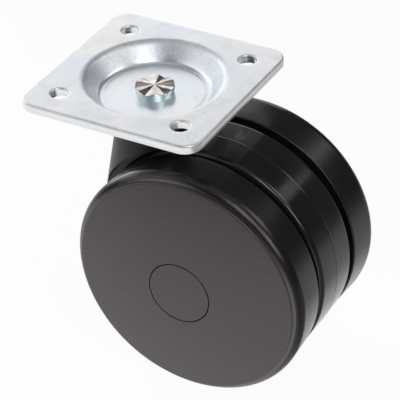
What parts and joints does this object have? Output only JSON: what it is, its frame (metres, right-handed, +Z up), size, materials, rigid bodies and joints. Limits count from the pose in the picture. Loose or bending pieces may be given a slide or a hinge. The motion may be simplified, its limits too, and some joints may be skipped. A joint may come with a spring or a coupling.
{
  "type": "swivel castor",
  "caption": "Twin-wheel swivel castor in black plastic with a square zinc-plated screw-on plate, a dished kingpin seat and free-rolling wheels.",
  "frame": {"origin": "on the swivel axis, in the plane of the plate's top face", "axes": "+Z up out of the plate's top face, +X from the swivel axis towards the axle, Y along the axle"},
  "size_m": [0.0887, 0.0584, 0.0895],
  "materials": {
    "zinc_steel": "bright zinc plating",
    "struck_steel": "plated, struck",
    "bright_steel": "plain bright",
    "bush_plastic": "plain moulded bearing plastic",
    "housing_plastic": "semi-gloss moulded",
    "face_plastic": "fine spark-eroded texture",
    "tread": "smooth, low gloss"
  },
  "bodies": {
    "plate": {"top_plate": "zinc_steel", "kingpin": "struck_steel", "kingpin_clip": "bright_steel", "thrust_washer": "bright_steel"},
    "swivel": {"housing": "housing_plastic", "swivel_bush": "bush_plastic", "axle": "bright_steel", "front_washer": "bright_steel", "rear_washer": "bright_steel", "front_clip": "bright_steel", "rear_clip": "bright_steel"},
    "front_roller": {"front_wheel": "face_plastic", "front_tread": "tread", "front_cap": "face_plastic"},
    "rear_roller": {"rear_wheel": "face_plastic", "rear_tread": "tread", "rear_cap": "face_plastic"}
  },
  "joints": [
    {"name": "swivel_turn", "type": "hinge", "parent": "plate", "child": "swivel", "pos_m": [0, 0, 0], "axis": [0, 0, 1], "continuous": true},
    {"name": "front_roll", "type": "hinge", "parent": "swivel", "child": "front_roller", "pos_m": [0.022, 0, -0.052], "axis": [0, 1, 0], "continuous": true},
    {"name": "rear_roll", "type": "hinge", "parent": "swivel", "child": "rear_roller", "pos_m": [0.022, 0, -0.052], "axis": [0, 1, 0], "continuous": true}
  ]
}
